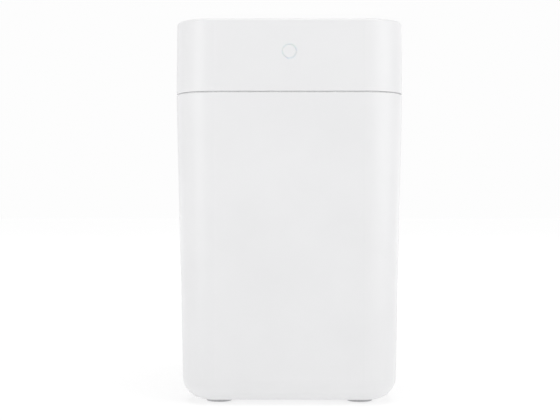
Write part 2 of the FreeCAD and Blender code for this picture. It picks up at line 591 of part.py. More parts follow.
def make_lid():
    z0, z1 = LID_Z + 4.4, LID_Z + ROLL_R
    panel = lid_outline(LID_HALF_X, LID_FRONT, LID_REAR, 28.7, 0.6, z0, z1)
    panel = panel.makeFillet(0.5, edges_at(panel, z1))
    panel = panel.cut(rod_x(-130, 130, LID_Y, LID_Z, UNDERCUT_R))
    pocket = lid_outline(LID_HALF_X - 2.4, LID_FRONT + 2.4, 92, 26.3, 2.0, z0 - 1, z1 - 2.6)
    tab = box(-TAB_HALF_X, TAB_HALF_X, 94, LID_Y, z0, z1)
    roll = rod_x(-TAB_HALF_X, TAB_HALF_X, LID_Y, LID_Z, ROLL_R)
    lid = fuse(panel.cut(pocket), tab, roll)
    lid = cut(lid,
              rod_x(-TAB_HALF_X - 1, -TAB_HALF_X + 11, LID_Y, LID_Z, PIN_R + RUNNING),
              rod_x(TAB_HALF_X - 11, TAB_HALF_X + 1, LID_Y, LID_Z, 1.5))
    node("lid_outer", lid)
    liner_z = z0 - 3.4
    liner = lid_outline(LID_HALF_X - 2.4, LID_FRONT + 2.4, 92, 26.3, 2.0, z0, z0 + 1.2)
    plug = lid_outline(LID_HALF_X - 6.0, LID_FRONT + 6.0, 88, 22.7, 2.0, liner_z, z0)
    plug = plug.cut(lid_outline(LID_HALF_X - 8.0, LID_FRONT + 8.0, 86, 20.7, 1.0, liner_z - 1, z0 - 0.4))
    node("lid_liner", fuse(liner, plug))
    node("lid_shaft", rod_x(TAB_HALF_X - 10.8, 72, LID_Y, LID_Z, 1.5))


def make_lid_drive():
    """Posts that carry the lid: a pivot pin on the left, a gearmotor on the right."""
    base_z, top_z = DECK_Z + 2, LID_Z + 5.5
    left = fuse(box(-72, -64, 105.5, 118.5, base_z, top_z), box(-84, -62, 104, 140, base_z, base_z + 2))
    left = left.cut(rod_x(-73, -63, LID_Y, LID_Z, PIN_R))
    node("lid_pivot_pin", rod_x(-72, -TAB_HALF_X + 9.5, LID_Y, LID_Z, PIN_R))
    right = fuse(box(63, 66, 105.5, 118.5, base_z, top_z), box(62, 84, 104, 140, base_z, base_z + 2),
                 box(66, 84, 116.5, 118.5, base_z, LID_Z - 7))
    node("lid_posts", left, right.cut(rod_x(62, 67, LID_Y, LID_Z, 3.0)))
    gearbox = box(66, 77, LID_Y - 5, LID_Y + 5, LID_Z - 6, LID_Z + 6).cut(rod_x(65, 72.5, LID_Y, LID_Z, 1.5 + RUNNING))
    node("lid_gearmotor", fuse(gearbox, rod_x(77, 97, LID_Y, LID_Z, 6), rod_x(97, 98.5, LID_Y, LID_Z, 2.5)))


def make_control_board():
    z = DECK_Z + 2
    stands = [rod_z(z, z + 4, x, y, 2.5) for x in (-54, 46) for y in (120, 138)]
    board = box(-58, 50, 116, 142, z + 4, z + 5.6)
    node("control_board", fuse(board, *stands))
    top = z + 5.6
    chips = [box(-20, -8, 124, 136, top, top + 1.4), box(4, 12, 126, 132, top, top + 1.6),
             box(-50, -40, 119, 127, top, top + 6), box(-50, -40, 130, 138, top, top + 6),
             box(34, 44, 120, 132, top, top + 4.5), rod_z(top, top + 9, 24, 134, 4), rod_z(top, top + 9, 24, 123, 4)]
    node("control_board_parts", *chips)


def make_front_button():
    front = -160.0
    skin = head_solid(0, 350, 390)
    ring = rod_y(front, -151.2, 0, BUTTON_Z, LIGHT_RING_R).common(skin)
    node("light_ring", ring.cut(rod_y(front, -140, 0, BUTTON_Z, BUTTON_R + 0.1)))
    cap = rod_y(front, -150.6, 0, BUTTON_Z, BUTTON_R).common(skin)
    cap = fuse(cap, rod_y(-150.8, -149.8, 0, BUTTON_Z, 7.8), rod_y(-150, -148.3, 0, BUTTON_Z, 2.5))
    node("button_cap", cap)
    board = box(-14, 14, -146.2, -144.8, BUTTON_Z - 11, BUTTON_Z + 11)
    switch = box(-3, 3, -147.4, -146.2, BUTTON_Z - 3, BUTTON_Z + 3)
    leds = [box(x - 1.4, x + 1.4, -147.2, -146.2, BUTTON_Z + z - 0.8, BUTTON_Z + z + 0.8)
            for x in (-8, 8) for z in (-6, 6)]
    node("button_board", fuse(board, switch, *leds))


def make_sensor():
    top = HEIGHT
    node("sensor_window", oval(7, 2.5, 0, SENSOR_Y, top - 2.0, top))
    body = box(-8, 8, SENSOR_Y - 3.4, SENSOR_Y + 3.6, top - WALL - 5, top - WALL)
    node("sensor_module", body)


# ---------------------------------------------------------------- sealing carriage
def make_rails():
    z0 = HEAD_BOTTOM + WALL
    rack = rack_y(RACK_X[0], RACK_X[1], -112, 112, z0, RACK_LINE, SHAFT_Y)
    node("racks", *both_sides(rack))
    node("guide_rods", *both_sides(rod_y(-128, 128, ROD_X, ROD_Z, ROD_R)))
    supports = []
    for y0, y1 in ((-129, -121), (121, 129)):
        block = box(ROD_X - 5.5, ROD_X + 5.5, y0, y1, z0, ROD_Z + 5.5)
        supports += both_sides(block.cut(rod_y(-128, 128, ROD_X, ROD_Z, ROD_R)))
    node("rod_supports", *supports)


def make_heater():
    z0 = HEAD_BOTTOM + WALL
    holder = fuse(box(-86, 86, -131, -120.5, z0, z0 + 3), box(-86, 86, -133.5, -131, z0, z0 + 17))
    node("heater_holder", holder)
    node("heater_block", box(-86, 86, -131, -120.5, z0 + 3, z0 + 16))
    node("heater_strip", box(-84, 84, -120.5, -119.8, z0 + 7.5, z0 + 12.5))


def make_carriage():
    axle_z = ROD_Z + 0.5
    bar = box(-90, 90, 78, 90, 333, 348.5)
    bar = bar.cut(box(-88, 88, 80.5, 91, 335.5, 346))
    arms = []
    for side in (-1, 1):
        a, b = sorted((side * 86, side * 90))
        arms.append(box(a, b, 78, 108, 333, 348.5))
        a, b = sorted((side * 88, side * 111))
        arms.append(box(a, b, 78, 90, 336.2, 348.5))
        a, b = sorted((side * 98.8, side * 111))
        arms.append(box(a, b, 78, 90, 334, 348.5))
    frame = fuse(bar, *arms)
    for x in (-ROD_X, ROD_X):
        frame = frame.cut(rod_y(70, 120, x, ROD_Z, ROD_R + 1.2))
    # cradle for the motor and the middle of the shaft
    cheek = box(-4, -1.5, 89, 120.5, 333.5, 349)
    back = box(-62, -1.5, 88, 90, 333, 346)
    frame = fuse(frame, cheek, back, box(-62, -59.5, 89, 120.5, 333.5, 349))
    frame = cut(frame, rod_x(-95, 95, SHAFT_Y, axle_z, PIN_R + RUNNING),
                rod_x(-6, 0, 112, axle_z, 4.0), rod_x(-60, -4, 112, axle_z, 7.5))
    node("carriage_frame", frame)
    bushes = []
    for x in (-ROD_X, ROD_X):
        bushes.append(rod_y(78, 90, x, ROD_Z, ROD_R + 1.2).cut(rod_y(70, 120, x, ROD_Z, ROD_R + RUNNING)))
    node("carriage_bushes", *bushes)
    pad = box(-84, 84, PAD_FACE, 78, 334, 347)
    pad = pad.makeFillet(1.0, [e for e in pad.Edges if abs(e.CenterOfMass.y - PAD_FACE) < 0.01])
    node("press_pad", pad)
    motor = fuse(rod_x(-59.5, -4, 112, axle_z, 7.5), rod_x(-4, -1.8, 112, axle_z, 3.9))
    node("seal_motor", motor.cut(rod_x(-8, 0, 112, axle_z, 1.0 + RUNNING)))
    # cross shaft with a pinion over each rack and a driven gear in the middle
    shaft = rod_x(-98.3, 98.3, SHAFT_Y, axle_z, PIN_R)
    node("cross_shaft", shaft)
    gears = []
    for side in (-1, 1):
        a, b = sorted((side * (RACK_X[0] + 0.3), side * RACK_X[1]))
        gears.append(gear_x(PINION_TEETH, a, b, SHAFT_Y, RACK_LINE + 7, -90, PIN_R))
    gears.append(gear_x(PINION_TEETH, 0, 6, SHAFT_Y, axle_z, 0, PIN_R))
    node("shaft_pinions", *gears)
    # a tooth gap faces the shaft gear
    motor_gear = gear_x(PINION_TEETH, 0.2, 5.8, 112, axle_z, 180 - 180.0 / PINION_TEETH, 0.5)
    node("seal_motor_gear", fuse(motor_gear, rod_x(-7, 7, 112, axle_z, 1.0)))


make_bucket_shell()
make_feet()
make_collar()
make_floor()
make_rear_duct()
make_fan()
make_power()
make_hinge_and_lift()
make_head_shell()
make_head_base()
make_head_hinge()
make_ring_well()
make_refill_ring()
make_lid()
make_lid_drive()
make_control_board()
make_front_button()
make_sensor()
make_rails()
make_heater()
make_carriage()

# ---------------------------------------------------------------- write the sub-parts
os.makedirs("parts", exist_ok=True)
for stale in os.listdir("parts"):
    os.remove(os.path.join("parts", stale))
for name, shape in NODES.items():
    good = shape.isValid() and all(solid.isClosed() and solid.Volume > 0 for solid in shape.Solids)
    print(f"{name:26s} solids {len(shape.Solids):3d}  volume {shape.Volume / 1000:9.2f} cm3  {'ok' if good else 'BAD'}")
    shape.exportStep(os.path.join("parts", name + ".step"))
print(len(NODES), "nodes")
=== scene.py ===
"""Looks of the motorised self-sealing waste bin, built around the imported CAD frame.

Materials and the studio are in metres, the shells of a Mesh in millimetres.
"""
import json
import math
import random

import bmesh
import bpy
from mathutils import Matrix, Vector


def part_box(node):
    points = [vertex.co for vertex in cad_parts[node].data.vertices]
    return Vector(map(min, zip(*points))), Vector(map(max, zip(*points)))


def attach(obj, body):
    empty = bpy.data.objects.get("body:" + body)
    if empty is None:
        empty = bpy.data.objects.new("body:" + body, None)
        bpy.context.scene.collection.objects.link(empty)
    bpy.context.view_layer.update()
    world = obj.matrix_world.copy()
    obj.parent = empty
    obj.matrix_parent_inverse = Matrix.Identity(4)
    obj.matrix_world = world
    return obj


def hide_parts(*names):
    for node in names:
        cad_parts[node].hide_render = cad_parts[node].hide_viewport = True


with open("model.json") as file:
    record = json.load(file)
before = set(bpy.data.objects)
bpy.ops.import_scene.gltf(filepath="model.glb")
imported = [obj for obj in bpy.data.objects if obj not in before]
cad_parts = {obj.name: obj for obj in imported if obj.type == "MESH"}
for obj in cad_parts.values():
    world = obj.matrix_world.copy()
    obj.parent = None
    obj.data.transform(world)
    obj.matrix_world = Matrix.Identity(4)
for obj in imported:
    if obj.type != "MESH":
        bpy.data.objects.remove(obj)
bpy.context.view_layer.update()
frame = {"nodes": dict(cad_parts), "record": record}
NODES = frame["nodes"]
MM = 0.001
WAVE_SCALE = 0.314159                      # a wave texture of scale 1 repeats every 0.314159 units


# ---------------------------------------------------------------- node helpers
class Shader:
    """A small builder for one procedural material, in object coordinates (metres)."""

    def __init__(self, name):
        self.material = bpy.data.materials.new(name)
        self.material.use_nodes = True
        self.tree = self.material.node_tree
        self.tree.nodes.clear()
        self.output = self.node("ShaderNodeOutputMaterial")
        self.surface = self.node("ShaderNodeBsdfPrincipled")
        self.link(self.surface.outputs[0], self.output.inputs[0])
        self.coords = self.node("ShaderNodeTexCoord").outputs["Object"]

    def node(self, kind, **values):
        made = self.tree.nodes.new(kind)
        for key, value in values.items():
            setattr(made, key, value)
        return made

    def link(self, source, target):
        self.tree.links.new(source, target)

    def set(self, **values):
        """Sets sockets of the principled shader; _ in a name stands for a space."""
        for key, value in values.items():
            self.surface.inputs[key.replace("_", " ")].default_value = value

    def stretched(self, scale):
        mapping = self.node("ShaderNodeMapping")
        mapping.inputs["Scale"].default_value = scale
        self.link(self.coords, mapping.inputs["Vector"])
        return mapping.outputs[0]

    def noise(self, size, detail=2.0, vector=None, roughness=0.5):
        """Noise with features about size metres wide."""
        made = self.node("ShaderNodeTexNoise")
        made.inputs["Scale"].default_value = 1.0 / size
        made.inputs["Detail"].default_value = detail
        made.inputs["Roughness"].default_value = roughness
        self.link(vector or self.coords, made.inputs["Vector"])
        return made.outputs["Fac"]

    def cells(self, size):
        """Distance to the middle of random cells about size metres wide."""
        made = self.node("ShaderNodeTexVoronoi")
        made.inputs["Scale"].default_value = 1.0 / size
        self.link(self.coords, made.inputs["Vector"])
        return made.outputs["Distance"]

    def bands(self, size, axis):
        """Sine bands across axis, one every size metres."""
        made = self.node("ShaderNodeTexWave", wave_type="BANDS", bands_direction=axis)
        made.inputs["Scale"].default_value = WAVE_SCALE / size
        self.link(self.coords, made.inputs["Vector"])
        return made.outputs["Fac"]

    def span(self, value, low, high, start=0.3, end=0.7):
        """Maps a 0 to 1 value onto low to high."""
        made = self.node("ShaderNodeMapRange")
        ends = {"From Min": start, "From Max": end, "To Min": low, "To Max": high}
        for key, number in ends.items():
            made.inputs[key].default_value = number
        self.link(value, made.inputs["Value"])
        return made.outputs["Result"]

    def math(self, operation, a, b):
        made = self.node("ShaderNodeMath", operation=operation)
        for socket, value in zip(made.inputs, (a, b)):
            if isinstance(value, (int, float)):
                socket.default_value = value
            else:
                self.link(value, socket)
        return made.outputs[0]

    def mix(self, share, first, second):
        made = self.node("ShaderNodeMix", data_type="RGBA")
        self.link(share, made.inputs[0])
        for index, value in ((6, first), (7, second)):
            if isinstance(value, tuple):
                made.inputs[index].default_value = (*value, 1)
            else:
                self.link(value, made.inputs[index])
        return made.outputs[2]

    def color(self, value):
        self.link(value, self.surface.inputs["Base Color"])

    def roughness(self, value):
        self.link(value, self.surface.inputs["Roughness"])

    def bump(self, *layers):
        """Stacks (height, depth in metres) layers, the first one lowest."""
        normal = None
        for height, depth in layers:
            made = self.node("ShaderNodeBump")
            made.inputs["Strength"].default_value = 1.0
            made.inputs["Distance"].default_value = depth
            self.link(height, made.inputs["Height"])
            if normal:
                self.link(normal, made.inputs["Normal"])
            normal = made.outputs[0]
        self.link(normal, self.surface.inputs["Normal"])


def shade(color, factor):
    return tuple(min(1.0, channel * factor) for channel in color)


# ---------------------------------------------------------------- materials
def moulded(name, color, rough=0.36, grain=0.35 * MM, depth=0.004 * MM):
    """Injection-moulded plastic: fine spark-eroded grain, faint flow mottle, uneven polish."""
    s = Shader(name)
    mottle = s.noise(60 * MM, 3.0)
    s.color(s.mix(s.span(mottle, 0.0, 1.0), shade(color, 0.988), shade(color, 1.012)))
    polish = s.noise(9 * MM, 4.0)
    s.roughness(s.span(polish, rough - 0.03, rough + 0.04))
    s.bump((s.noise(25 * MM, 1.0), depth * 2.0), (s.noise(grain, 2.0), depth))
    s.set(IOR=1.49)
    return s.material


def textured(name, color, rough=0.6, grain=0.6 * MM, depth=0.03 * MM):
    """Plastic with a coarse etched grain, the pit floors painted darker as painted shade."""
    s = Shader(name)
    pits_and_pit_shade = s.cells(grain)
    # painted shade: the colour is darkest in the middle of each cell, where the bump sinks the pit
    s.color(s.mix(s.span(pits_and_pit_shade, 0.0, 1.0, 0.0, 0.8), shade(color, 0.94), shade(color, 1.04)))
    s.roughness(s.span(s.noise(6 * MM, 3.0), rough - 0.06, rough + 0.06))
    s.bump((s.noise(3 * MM, 2.0), depth * 0.6), (pits_and_pit_shade, depth))
    s.set(IOR=1.5)
    return s.material


def rubber(name, color, rough=0.75):
    s = Shader(name)
    dust = s.noise(1.2 * MM, 5.0, roughness=0.7)
    s.color(s.mix(s.span(dust, 0.0, 1.0, 0.45, 0.75), color, shade(color, 1.35)))
    s.roughness(s.span(s.noise(4 * MM, 2.0), rough - 0.08, rough + 0.1))
    s.bump((s.noise(0.25 * MM, 3.0), 0.012 * MM))
    s.set(Sheen_Weight=0.15, Sheen_Roughness=0.4)
    return s.material


def brushed(name, color, scale, rough=0.32):
    """Metal with fine parallel lines; scale is small along the lines."""
    s = Shader(name)
    lines = s.noise(0.25 * MM, 3.0, s.stretched(scale))
    stain = s.noise(18 * MM, 3.0)
    s.color(s.mix(s.span(stain, 0.0, 1.0), shade(color, 0.9), shade(color, 1.06)))
    s.roughness(s.math("ADD", s.span(lines, rough - 0.08, rough + 0.1), s.span(stain, -0.03, 0.04)))
    s.bump((lines, 0.004 * MM))
    s.set(Metallic=1.0, Anisotropic=0.45)
    return s.material


def plated(name, color=(0.62, 0.62, 0.63), rough=0.34):
    """Zinc-plated sheet or turned steel."""
    s = Shader(name)
    flakes = s.cells(2.2 * MM)
    cloud = s.noise(7 * MM, 4.0)
    s.color(s.mix(s.span(flakes, 0.0, 1.0, 0.0, 0.7), shade(color, 0.95), shade(color, 1.03)))
    s.roughness(s.span(cloud, rough - 0.05, rough + 0.06))
    s.bump((s.noise(0.5 * MM, 2.0), 0.003 * MM))
    s.set(Metallic=1.0)
    return s.material


def acetal(name, color):
    s = Shader(name)
    s.color(s.mix(s.span(s.noise(14 * MM, 2.0), 0.0, 1.0), shade(color, 0.97), color))
    s.roughness(s.span(s.noise(1.5 * MM, 3.0), 0.30, 0.42))
    s.bump((s.noise(0.4 * MM, 2.0), 0.003 * MM))
    s.set(Subsurface_Weight=0.15, Subsurface_Scale=0.002)
    return s.material


def heater_cloth(name):
    """Coated glass cloth: a brown plain weave under a smooth film."""
    s = Shader(name)
    warp, weft = s.bands(0.28 * MM, "X"), s.bands(0.28 * MM, "Z")
    weave = s.math("MAXIMUM", warp, weft)
    s.color(s.mix(weave, (0.22, 0.13, 0.06), (0.42, 0.28, 0.14)))
    s.roughness(s.span(weave, 0.5, 0.3, 0.0, 1.0))
    s.bump((weave, 0.02 * MM))
    return s.material


def circuit_board(name):
    """Green solder mask over copper tracks that run in a grid, with pads."""
    s = Shader(name)
    run = s.node("ShaderNodeTexBrick", offset=0.37, offset_frequency=3,
                 squash=0.8, squash_frequency=2)
    for key, value in (("Scale", 130.0), ("Mortar Size", 0.06), ("Mortar Smooth", 0.2),
                       ("Brick Width", 0.9), ("Row Height", 0.22)):
        run.inputs[key].default_value = value
    s.link(s.coords, run.inputs["Vector"])
    pads = s.math("LESS_THAN", s.cells(2.9 * MM), 0.16)
    mask = s.mix(run.outputs["Fac"], (0.012, 0.13, 0.05), (0.02, 0.20, 0.08))
    s.color(s.mix(pads, mask, (0.72, 0.70, 0.66)))
    s.roughness(s.span(s.noise(2 * MM, 2.0), 0.22, 0.36))
    s.bump((run.outputs["Fac"], 0.02 * MM))
    s.link(pads, s.surface.inputs["Metallic"])
    return s.material


def film(name):
    """Thin cloudy polyethylene."""
    s = Shader(name)
    cloud = s.noise(10 * MM, 4.0)
    s.color(s.mix(s.span(cloud, 0.0, 1.0), (0.74, 0.76, 0.78), (0.84, 0.855, 0.87)))
    s.roughness(s.span(s.noise(3 * MM, 3.0), 0.18, 0.36))
    s.bump((s.noise(5 * MM, 4.0, roughness=0.65), 0.12 * MM))
    s.set(Transmission_Weight=0.15, Subsurface_Weight=0.3, Subsurface_Scale=0.002)
    return s.material


def sleeve(name, color):
    """Heat-shrunk sleeve with faint lengthwise wrinkles."""
    s = Shader(name)
    wrinkle = s.noise(1.6 * MM, 3.0, s.stretched((0.15, 1, 1)))
    s.color(s.mix(s.span(s.noise(20 * MM, 2.0), 0.0, 1.0), shade(color, 0.9), shade(color, 1.1)))
    s.roughness(s.span(wrinkle, 0.2, 0.34))
    s.bump((wrinkle, 0.03 * MM))
    s.set(Coat_Weight=0.4, Coat_Roughness=0.1)
    return s.material


def window(name):
    s = Shader(name)
    tint = s.span(s.noise(3 * MM, 2.0), 0.0, 1.0)
    s.color(s.mix(tint, (0.010, 0.010, 0.014), (0.022, 0.020, 0.028)))
    s.roughness(s.span(s.noise(1.5 * MM, 2.0), 0.05, 0.10))
    s.bump((s.noise(2 * MM, 1.0), 0.001 * MM))
    s.set(Coat_Weight=1.0, Coat_Roughness=0.04)
    return s.material


def diffuser(name):
    s = Shader(name)
    haze = s.span(s.noise(2 * MM, 2.0), 0.0, 1.0)
    s.color(s.mix(haze, (0.76, 0.765, 0.775), (0.80, 0.805, 0.815)))
    s.roughness(s.span(s.noise(1 * MM, 2.0), 0.3, 0.42))
    s.bump((s.noise(0.3 * MM, 2.0), 0.004 * MM))
    s.set(Subsurface_Weight=0.4, Subsurface_Scale=0.003)
    return s.material


WHITE = (0.81, 0.81, 0.817)
LIGHT = (0.70, 0.70, 0.71)
MATERIALS = {
    "white_shell": moulded("white_shell", WHITE),
    "white_lid": moulded("white_lid", WHITE, rough=0.33),
    "button_plastic": moulded("button_plastic", WHITE, rough=0.30, grain=0.2 * MM),
    "grey_plastic": textured("grey_plastic", (0.33, 0.34, 0.35)),
    "light_plastic": moulded("light_plastic", LIGHT, rough=0.5, grain=0.5 * MM, depth=0.012 * MM),
    "dark_plastic": textured("dark_plastic", (0.035, 0.035, 0.038)),
    "card": moulded("card", (0.78, 0.79, 0.80), rough=0.45, depth=0.008 * MM),
    "silicone": rubber("silicone", (0.76, 0.765, 0.77), 0.6),
    "foot_rubber": rubber("foot_rubber", (0.44, 0.44, 0.45)),
    "acetal": acetal("acetal", (0.80, 0.79, 0.74)),
    "steel": plated("steel"),
    "motor_can": brushed("motor_can", (0.55, 0.55, 0.57), (0.03, 1, 1)),
    "aluminium": brushed("aluminium", (0.74, 0.74, 0.76), (0.02, 1, 1), 0.28),
    "rod_steel": brushed("rod_steel", (0.70, 0.70, 0.71), (1, 0.02, 1), 0.18),
    "heater_tape": heater_cloth("heater_tape"),
    "film": film("film"),
    "board": circuit_board("board"),
    "component": textured("component", (0.03, 0.03, 0.032), 0.5, 0.3 * MM, 0.01 * MM),
    "battery_wrap": sleeve("battery_wrap", (0.03, 0.14, 0.36)),
    "window": window("window"),
    "diffuser": diffuser("diffuser"),
}
SPECIAL = {"guide_rods": "rod_steel"}      # nodes that look unlike the rest of their slot


def dress_nodes():
    """Gives every CAD node the procedural material of its slot."""
    slot_of = {part["node"]: part["material_slot"] for part in frame["record"]["subparts"]}
    for name, obj in NODES.items():
        material = MATERIALS[SPECIAL.get(name, slot_of[name])]
        for slot in obj.material_slots:
            slot.material = material
        if not obj.material_slots:
            obj.data.materials.append(material)


# ---------------------------------------------------------------- mesh helpers
class Mesh:
    """Collects closed shells in millimetres, placed by a matrix, and turns them into one piece."""

    def __init__(self, place=None):
        self.place = place or Matrix()
        self.points = []
        self.faces = []

    def skin(self, rings, wrap=False):
        """Joins rings of points, in order; wrap closes the row, otherwise its ends are capped."""
        start, count = len(self.points), len(rings[0])
        for ring in rings:
            self.points += [self.place @ Vector(point) for point in ring]
        pairs = list(zip(range(len(rings)), range(1, len(rings))))
        if wrap:
            pairs.append((len(rings) - 1, 0))
        else:
            self.faces.append([start + i for i in range(count)][::-1])
            self.faces.append([start + (len(rings) - 1) * count + i for i in range(count)])
        for low, high in pairs:
            for i in range(count):
                j = (i + 1) % count
                self.faces.append([start + low * count + i, start + low * count + j,
                                   start + high * count + j, start + high * count + i])

    def lathe(self, profile, centre, axis="Z", wrap=False, steps=40):
        """Turns (radius, along) pairs about an axis through centre."""
        rings = []
        for radius, along in profile:
            ring = []
            for i in range(steps):
                angle = math.tau * i / steps
                across = (radius * math.cos(angle), radius * math.sin(angle))
                ring.append(turned(centre, axis, across, along))
            rings.append(ring)
        self.skin(rings, wrap)

    def block(self, low, high, bevel=0.3):
        """A box with bevelled edges."""
        (x0, y0, z0), (x1, y1, z1) = low, high
        rings = []
        for z, inset in ((z0, bevel), (z0 + bevel, 0), (z1 - bevel, 0), (z1, bevel)):
            a, b, c, d = x0 + inset, x1 - inset, y0 + inset, y1 - inset
            e = bevel
            rings.append([(a + e, c, z), (b - e, c, z), (b, c + e, z), (b, d - e, z),
                          (b - e, d, z), (a + e, d, z), (a, d - e, z), (a, c + e, z)])
        self.skin(rings)

    def bar(self, section, x0, x1):
        """A (y, z) section drawn along X."""
        self.skin([[(x0, y, z) for y, z in section], [(x1, y, z) for y, z in section]])

    def finish(self, name, body, slot, replaces=(), smooth=35):
        mesh = bpy.data.meshes.new(name)
        mesh.from_pydata([point * MM for point in self.points], [], self.faces)
        shell = bmesh.new()
        shell.from_mesh(mesh)
        bmesh.ops.recalc_face_normals(shell, faces=shell.faces)
        shell.to_mesh(mesh)
        shell.free()
        mesh.shade_smooth()
        mesh.set_sharp_from_angle(angle=math.radians(smooth))
        mesh.materials.append(MATERIALS[slot])
        piece = bpy.data.objects.new(name, mesh)
        bpy.context.scene.collection.objects.link(piece)
        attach(piece, body)
        for node in replaces:
            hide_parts(node)
        return piece


def turned(centre, axis, across, along):
    """A point at along on an axis through centre, and across in the plane square to it."""
    x, y, z = centre
    u, v = across
    if axis == "X":
        return (x + along, y + u, z + v)
    if axis == "Y":
        return (x + v, y + along, z + u)
    return (x + u, y + v, z + along)


def outline(x0, x1, y0, y1, front_r, rear_r, steps=12, runs=48):
    """Points round a rectangle with rounded corners, the same number on every side."""
    corners = [(x1 - front_r, y0 + front_r, front_r, -90), (x1 - rear_r, y1 - rear_r, rear_r, 0),
               (x0 + rear_r, y1 - rear_r, rear_r, 90), (x0 + front_r, y0 + front_r, front_r, 180)]
    points = []
    for index, (cx, cy, r, turn) in enumerate(corners):
        for i in range(steps + 1):
            angle = math.radians(turn + 90 * i / steps)
            points.append(Vector((cx + r * math.cos(angle), cy + r * math.sin(angle))))
        nx, ny, nr, nturn = corners[(index + 1) % 4]
        angle = math.radians(nturn)
        there = Vector((nx + nr * math.cos(angle), ny + nr * math.sin(angle)))
        here = points[-1].copy()
        points += [here.lerp(there, i / runs) for i in range(1, runs)]
    return points


def height_span(node):
    """The bottom and top of a CAD node, in millimetres."""
    low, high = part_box(node)
    return low[2] * 1000, high[2] * 1000


# ---------------------------------------------------------------- soft and rubber parts
def make_bag_film():
    """The refill's tube of film, packed in pleats round the throat of the tray."""
    low, high = height_span("film_pack")
    inner = outline(-87.3, 87.3, -120.3, 78.3, 25.0, 25.0)
    outer = outline(-99.7, 99.7, -132.7, 90.7, 22.7, 9.0)
    draw = random.Random(11)
    pleats = 11
    steps = 2 * pleats
    pitch = (high - low - 2.0) / pleats
    waves = [(draw.uniform(0.15, 0.5), draw.randint(9, 60), draw.uniform(0, math.tau))
             for _ in range(6)]
    rings = []
    for index, (a, b) in enumerate(zip(inner, outer)):
        turn = math.tau * index / len(inner)
        ruffle = sum(size * math.sin(count * turn + phase) for size, count, phase in waves)
        ring = []
        for side in (0, 1):
            for k in range(steps + 1):
                step = k if side == 0 else steps - k
                fold = 0.0 if step % 2 == 0 else 1.0
                slack = 0.35 * math.sin(5.0 * step + 17 * turn) + 0.15 * ruffle
                depth = 0.045 + 0.075 * fold + 0.02 * abs(slack)
                spot = a.lerp(b, depth if side == 0 else 1.0 - depth)
                z = low + 0.5 + 0.5 * pitch * step + 0.22 * ruffle * step / steps
                ring.append((spot.x, spot.y, min(z, high - 0.1)))
            if side == 0:
                for share in (0.18, 0.27, 0.36, 0.45, 0.55, 0.64, 0.73, 0.82):
                    spot = a.lerp(b, share)
                    crease = 0.45 * math.sin(11 * share + 90 * turn + 3 * ruffle)
                    swell = 0.7 * math.sin(math.pi * share) + crease
                    ring.append((spot.x, spot.y, min(high - 1.4 + swell, high - 0.1)))
        rings.append(ring)
    made = Mesh()
    made.skin(rings, wrap=True)
    made.finish("bag_film", "head", "film", ("film_pack",), smooth=60)


def make_rim_bead():
    """Elastomer strip on the bucket's rim: a flat foot, a groove and a rounded outer bead."""
    low, high = height_span("rim_seal")
    rise = high - low
    width = 6.3
    section = [(0.0, 0.0), (6.2, 0.0), (width, 0.25), (width, 0.7), (6.15, 1.0), (5.8, rise),
               (5.0, rise), (4.6, 0.95), (4.2, 0.75), (3.7, 0.75), (3.3, 0.95), (2.9, rise),
               (1.2, rise), (0.6, 1.0), (0.0, 0.5)]
    inner = outline(-112.6, 112.6, -146.7, 146.7, 34.6, 34.6, 16, 30)
    outer = outline(-118.9, 118.9, -153.0, 153.0, 40.9, 40.9, 16, 30)
    rear = 127.5
    # the strip runs from the hinge on the left, round the front, to the hinge on the right
    first = next(i for i, b in enumerate(outer) if b.y >= rear)
    spots = [(a, b) for a, b in zip(inner, outer) if b.y < rear]
    spots = spots[first:] + spots[:first]
    made = Mesh()
    made.skin([[(*a.lerp(b, out / width), low + up) for out, up in section] for a, b in spots])
    made.finish("rim_bead", "base", "silicone", ("rim_seal",))


def make_feet():
    """Rubber pads with a grip ring and a moulded dimple underneath."""
    low, high = height_span("feet")
    profile = [(2.2, 0.7), (2.8, 0.5), (3.2, 0.1), (3.6, 0.0), (7.4, 0.0), (7.6, 0.1), (7.8, 0.6),
               (8.8, 0.6), (9.0, 0.1), (9.2, 0.0), (12.8, 0.0), (13.3, 0.2), (13.8, 0.7),
               (14.0, 1.2), (14.0, high - low)]
    made = Mesh()
    for x in (-75, 75):
        for y in (-108, 108):
            made.lathe(profile, (x, y, low), steps=64)
    made.finish("foot_pads", "base", "foot_rubber", ("feet",))


# ---------------------------------------------------------------- fasteners and motors
def make_screws():
    """Pan-head screws with a six-lobed recess and a rolled thread."""
    bottom = height_span("head_screws")[0]
    steps, turns = 48, 14
    # radius, size of the lobes and height, from the recess over the head to the shank
    head = ((0.75, 0.12, 1.15), (0.95, 0.18, 1.1), (1.0, 0.2, 0.1), (1.12, 0.2, 0.0), (2.3, 0, 0.0),
            (2.55, 0, 0.12), (2.68, 0, 0.4), (2.7, 0, 0.8), (2.7, 0, 1.4), (1.35, 0, 1.4))
    thread = ((1.05, 0.0), (1.38, 0.35), (1.38, 0.5), (1.05, 0.8))

    def ring(x, y, z, radius, lobe=0.0):
        return [(x + (radius + lobe * math.cos(6 * a)) * math.cos(a),
                 y + (radius + lobe * math.cos(6 * a)) * math.sin(a), z)
                for a in (math.tau * i / steps for i in range(steps))]

    made = Mesh()
    for x in (-103.1, 103.1):
        for y in (-137.2, 137.2):
            rings = [ring(x, y, bottom + z, radius, lobe) for radius, lobe, z in head]
            for turn in range(turns):
                z = 2.2 + turn * (13.4 / turns)
                rings += [ring(x, y, bottom + z + rise, radius) for radius, rise in thread]
            rings.append(ring(x, y, bottom + 16.8, 0.3))
            made.skin(rings)
    made.finish("base_screws", "head", "steel", ("head_screws",))


